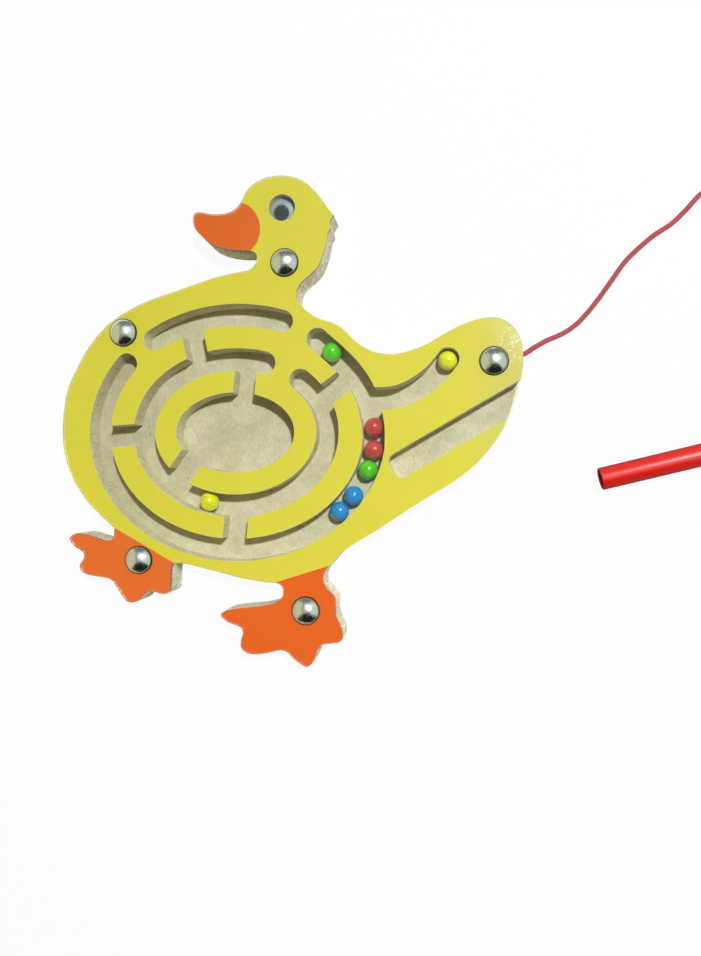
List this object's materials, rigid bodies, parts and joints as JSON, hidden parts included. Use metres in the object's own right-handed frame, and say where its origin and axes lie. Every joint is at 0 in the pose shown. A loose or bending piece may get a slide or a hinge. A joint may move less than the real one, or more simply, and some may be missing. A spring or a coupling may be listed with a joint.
{
  "type": "magnetic maze board",
  "caption": "Duck-shaped magnetic maze board: painted steel balls roll in oval channels under a clear cover, pulled by the magnet in a wand that is tied to the tail.",
  "frame": {"origin": "on the flat underside of the back board, below the centre of the maze", "axes": "+Z out of the printed face, +X from the beak to the tail, +Y from the feet to the head"},
  "size_m": [0.3598, 0.2076, 0.0189],
  "materials": {
    "maze_sheet": "fibreboard with a smooth yellow and orange printed face",
    "board_back": "bare fibreboard",
    "clear_cover": "clear polished acrylic",
    "pins": "plain steel",
    "caps": "polished chrome",
    "eye_white": "matt",
    "pupil": "matt",
    "eye_dome": "clear",
    "ball_green": "glossy paint",
    "ball_red": "glossy paint",
    "ball_blue": "glossy paint",
    "ball_yellow": "glossy paint",
    "wand": "glossy",
    "magnet": "dull sintered",
    "cord": "braided"
  },
  "bodies": {
    "board": {"back_board": "board_back", "maze_frame": "maze_sheet", "wall_inner_left": "maze_sheet", "wall_outer_left": "maze_sheet", "wall_outer_right": "maze_sheet", "clear_cover": "clear_cover", "pin_neck": "pins", "pin_shoulder": "pins", "pin_tail": "pins", "pin_left_foot": "pins", "pin_right_foot": "pins", "cap_neck": "caps", "cap_shoulder": "caps", "cap_tail": "caps", "cap_left_foot": "caps", "cap_right_foot": "caps", "eye_back": "eye_white", "eye_dome": "eye_dome", "cord": "cord"},
    "ball_green_1": {"ball_green_1": "ball_green"},
    "ball_red_1": {"ball_red_1": "ball_red"},
    "ball_red_2": {"ball_red_2": "ball_red"},
    "ball_green_2": {"ball_green_2": "ball_green"},
    "ball_blue_1": {"ball_blue_1": "ball_blue"},
    "ball_blue_2": {"ball_blue_2": "ball_blue"},
    "ball_yellow_1": {"ball_yellow_1": "ball_yellow"},
    "ball_yellow_2": {"ball_yellow_2": "ball_yellow"},
    "pupil": {"eye_pupil": "pupil"},
    "wand": {"wand_tube": "wand", "wand_magnet": "magnet", "wand_end_plug": "wand"}
  },
  "joints": [
    {"name": "roll_green_1", "type": "hinge", "parent": "board", "child": "ball_green_1", "pos_m": [-0.0433, -0.05382, 0.0076], "axis": [0, 0, 1], "range_deg": [-9, 3.25]},
    {"name": "roll_red_1", "type": "hinge", "parent": "board", "child": "ball_red_1", "pos_m": [0.01427, -0.00168, 0.0076], "axis": [0, 0, 1], "range_deg": [-1.25, 36]},
    {"name": "roll_red_2", "type": "hinge", "parent": "board", "child": "ball_red_2", "pos_m": [0.01633, 0.00006, 0.0076], "axis": [0, 0, 1], "range_deg": [0, 1.25]},
    {"name": "roll_green_2", "type": "hinge", "parent": "board", "child": "ball_green_2", "pos_m": [0.01438, 0.00065, 0.0076], "axis": [0, 0, 1], "range_deg": [-5, 0]},
    {"name": "roll_blue_1", "type": "hinge", "parent": "board", "child": "ball_blue_1", "pos_m": [0.01013, 0.00312, 0.0076], "axis": [0, 0, 1], "range_deg": [0, 4.5]},
    {"name": "roll_blue_2", "type": "hinge", "parent": "board", "child": "ball_blue_2", "pos_m": [0.00402, 0.00895, 0.0076], "axis": [0, 0, 1], "range_deg": [-38, 0]},
    {"name": "roll_yellow_1", "type": "hinge", "parent": "board", "child": "ball_yellow_1", "pos_m": [-0.00033, 0.01558, 0.0076], "axis": [0, 0, 1], "range_deg": [-26, 62]},
    {"name": "roll_yellow_2", "type": "hinge", "parent": "board", "child": "ball_yellow_2", "pos_m": [0.05558, 0.04939, 0.0076], "axis": [0, 0, 1], "range_deg": [-44, 0]},
    {"name": "pupil_roll", "type": "hinge", "parent": "board", "child": "pupil", "pos_m": [0.01948, 0.09114, 0.0097], "axis": [0, 0, 1], "continuous": true},
    {"name": "wand_lift", "type": "slide", "parent": "board", "child": "wand", "axis": [0, 0, 1], "range_m": [0, 0.1]}
  ]
}
